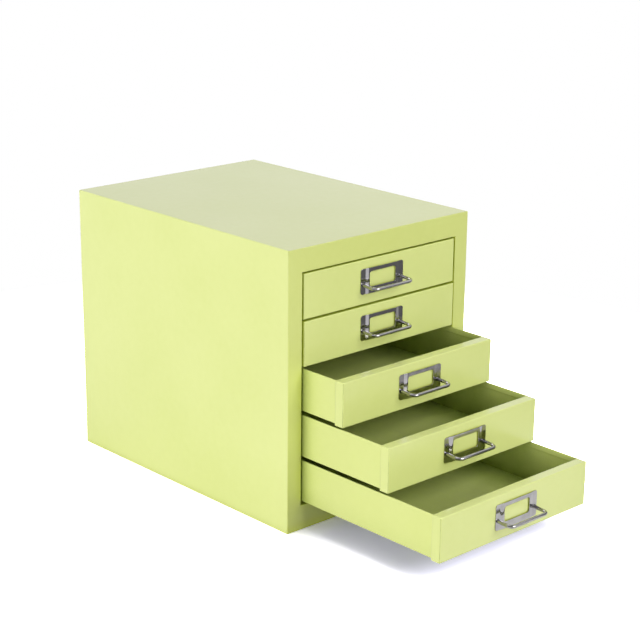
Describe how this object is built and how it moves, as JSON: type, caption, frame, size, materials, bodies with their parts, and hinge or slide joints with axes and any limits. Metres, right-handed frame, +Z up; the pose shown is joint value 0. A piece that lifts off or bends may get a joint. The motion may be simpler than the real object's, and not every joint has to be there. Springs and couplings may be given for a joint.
{
  "type": "drawer cabinet",
  "caption": "Desktop sheet-steel drawer cabinet: shallow sliding drawers in a folded casing, each with a plated label holder and a wire pull.",
  "frame": {"origin": "centre of the casing's footprint, on the surface that it stands on", "axes": "+Z up; the drawers open towards -Y; +X is to the right seen from the back of the drawers' travel, looking along +Y"},
  "size_m": [0.279, 0.6113, 0.325],
  "materials": {
    "painted_sheet": "semi-gloss lime green stove enamel on sheet steel",
    "bright_plate": "bright nickel-chrome plate on pressed steel",
    "bright_wire": "bright nickel-chrome plate on round wire",
    "retainer_steel": "zinc-plated spring steel"
  },
  "bodies": {
    "cabinet": {"casing_wrap": "painted_sheet", "front_frame": "painted_sheet", "base_panel": "painted_sheet", "back_panel": "painted_sheet", "upright_front_left": "painted_sheet", "upright_rear_left": "painted_sheet", "runner_left_1": "painted_sheet", "runner_left_2": "painted_sheet", "runner_left_3": "painted_sheet", "runner_left_4": "painted_sheet", "runner_left_5": "painted_sheet", "upright_front_right": "painted_sheet", "upright_rear_right": "painted_sheet", "runner_right_1": "painted_sheet", "runner_right_2": "painted_sheet", "runner_right_3": "painted_sheet", "runner_right_4": "painted_sheet", "runner_right_5": "painted_sheet"},
    "drawer_1": {"tray_1": "painted_sheet", "tray_back_1": "painted_sheet", "drawer_front_1": "painted_sheet", "label_holder_1": "bright_plate", "bail_1": "bright_wire", "bail_retainers_1": "retainer_steel"},
    "drawer_2": {"tray_2": "painted_sheet", "tray_back_2": "painted_sheet", "drawer_front_2": "painted_sheet", "label_holder_2": "bright_plate", "bail_2": "bright_wire", "bail_retainers_2": "retainer_steel"},
    "drawer_3": {"tray_3": "painted_sheet", "tray_back_3": "painted_sheet", "drawer_front_3": "painted_sheet", "label_holder_3": "bright_plate", "bail_3": "bright_wire", "bail_retainers_3": "retainer_steel"},
    "drawer_4": {"tray_4": "painted_sheet", "tray_back_4": "painted_sheet", "drawer_front_4": "painted_sheet", "label_holder_4": "bright_plate", "bail_4": "bright_wire", "bail_retainers_4": "retainer_steel"},
    "drawer_5": {"tray_5": "painted_sheet", "tray_back_5": "painted_sheet", "drawer_front_5": "painted_sheet", "label_holder_5": "bright_plate", "bail_5": "bright_wire", "bail_retainers_5": "retainer_steel"}
  },
  "joints": [
    {"name": "drawer_1_slide", "type": "slide", "parent": "cabinet", "child": "drawer_1", "axis": [0, -1, 0], "range_m": [0, 0.25]},
    {"name": "drawer_2_slide", "type": "slide", "parent": "cabinet", "child": "drawer_2", "axis": [0, -1, 0], "range_m": [-0.0012, 0.2488]},
    {"name": "drawer_3_slide", "type": "slide", "parent": "cabinet", "child": "drawer_3", "axis": [0, -1, 0], "range_m": [-0.063, 0.187]},
    {"name": "drawer_4_slide", "type": "slide", "parent": "cabinet", "child": "drawer_4", "axis": [0, -1, 0], "range_m": [-0.133, 0.117]},
    {"name": "drawer_5_slide", "type": "slide", "parent": "cabinet", "child": "drawer_5", "axis": [0, -1, 0], "range_m": [-0.2095, 0.0405]}
  ]
}
